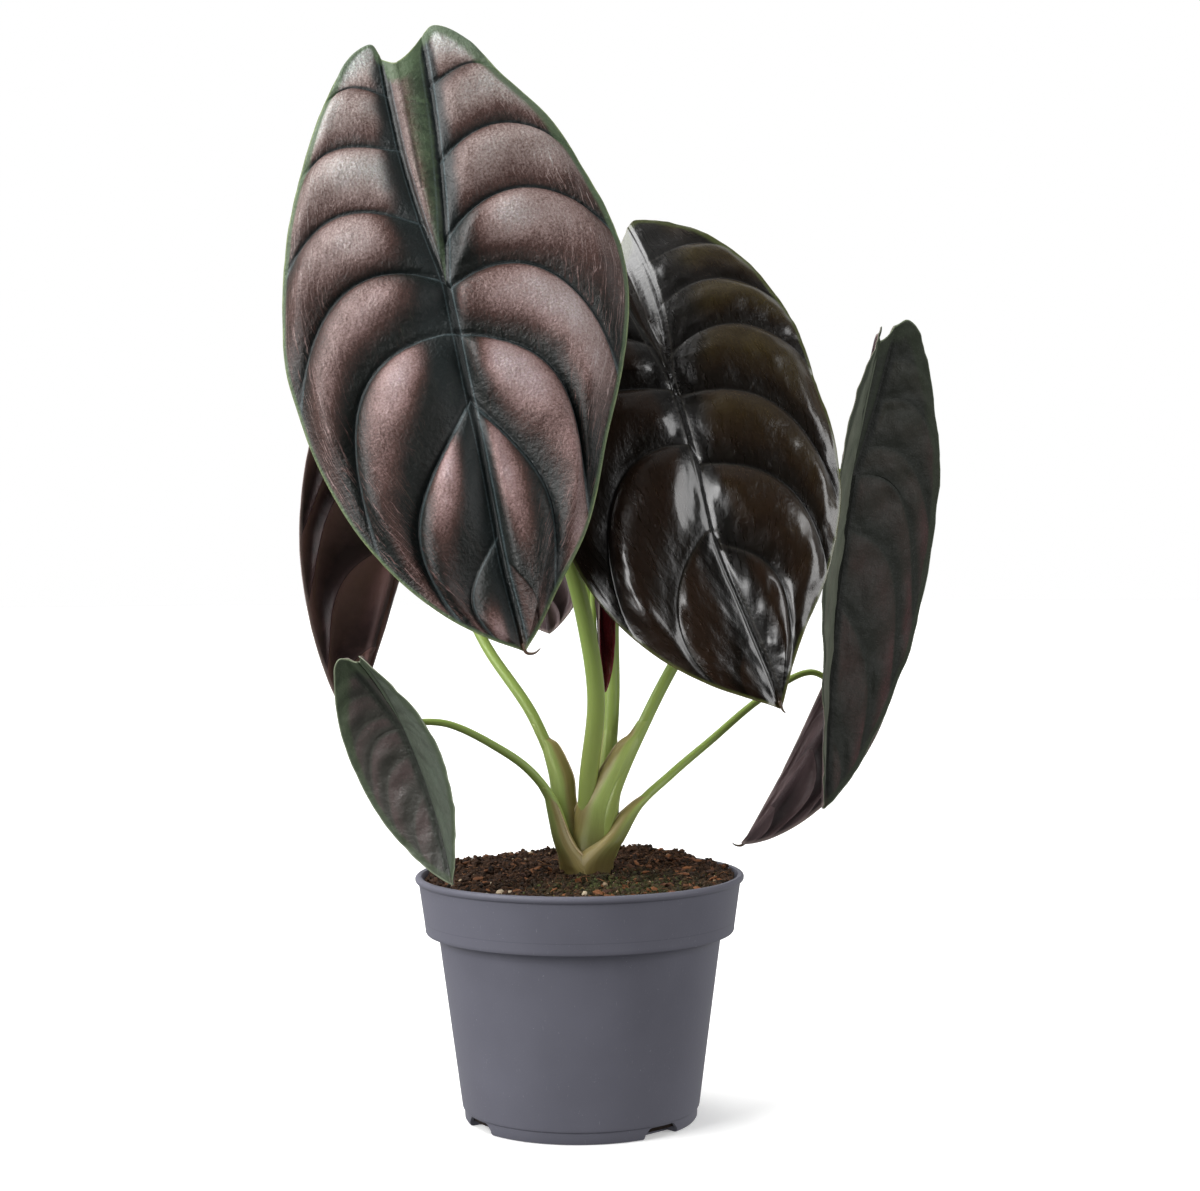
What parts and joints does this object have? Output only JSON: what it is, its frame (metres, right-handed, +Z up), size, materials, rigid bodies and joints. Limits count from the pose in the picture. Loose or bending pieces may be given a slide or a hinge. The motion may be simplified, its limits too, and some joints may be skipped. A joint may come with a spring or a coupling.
{
  "type": "potted alocasia cuprea plant",
  "caption": "Foliage plant with quilted, copper-sheened shield leaves on arching stalks, standing in a plain round nursery pot of soil.",
  "frame": {"origin": "centre of the pot's base, on the surface that it stands on", "axes": "+Z up, -Y towards the side of the pot that the two largest leaves face, +X to their right"},
  "size_m": [0.245, 0.1532, 0.3947],
  "materials": {
    "pot": "moulded grey-blue plastic, satin",
    "soil": "damp dark peat with bark and pale grit, fully matte",
    "crown": "waxy olive-tan leaf sheaths, satin",
    "stalks": "smooth waxy green, satin",
    "blades": "leathery and glossy with a coppery sheen, dark veins and a green margin"
  },
  "bodies": {
    "root": {"pot": "pot", "soil": "soil", "crown": "crown", "stalk_front": "stalks", "blade_front": "blades", "stalk_right": "stalks", "blade_right": "blades", "stalk_left_rear": "stalks", "blade_left_rear": "blades", "stalk_left_low": "stalks", "blade_left_low": "blades", "stalk_far_right": "stalks", "blade_far_right": "blades", "stalk_right_low": "stalks", "blade_right_low": "blades", "stalk_rear": "stalks", "blade_rear": "blades", "stalk_young": "stalks", "blade_young": "blades"}
  },
  "joints": []
}
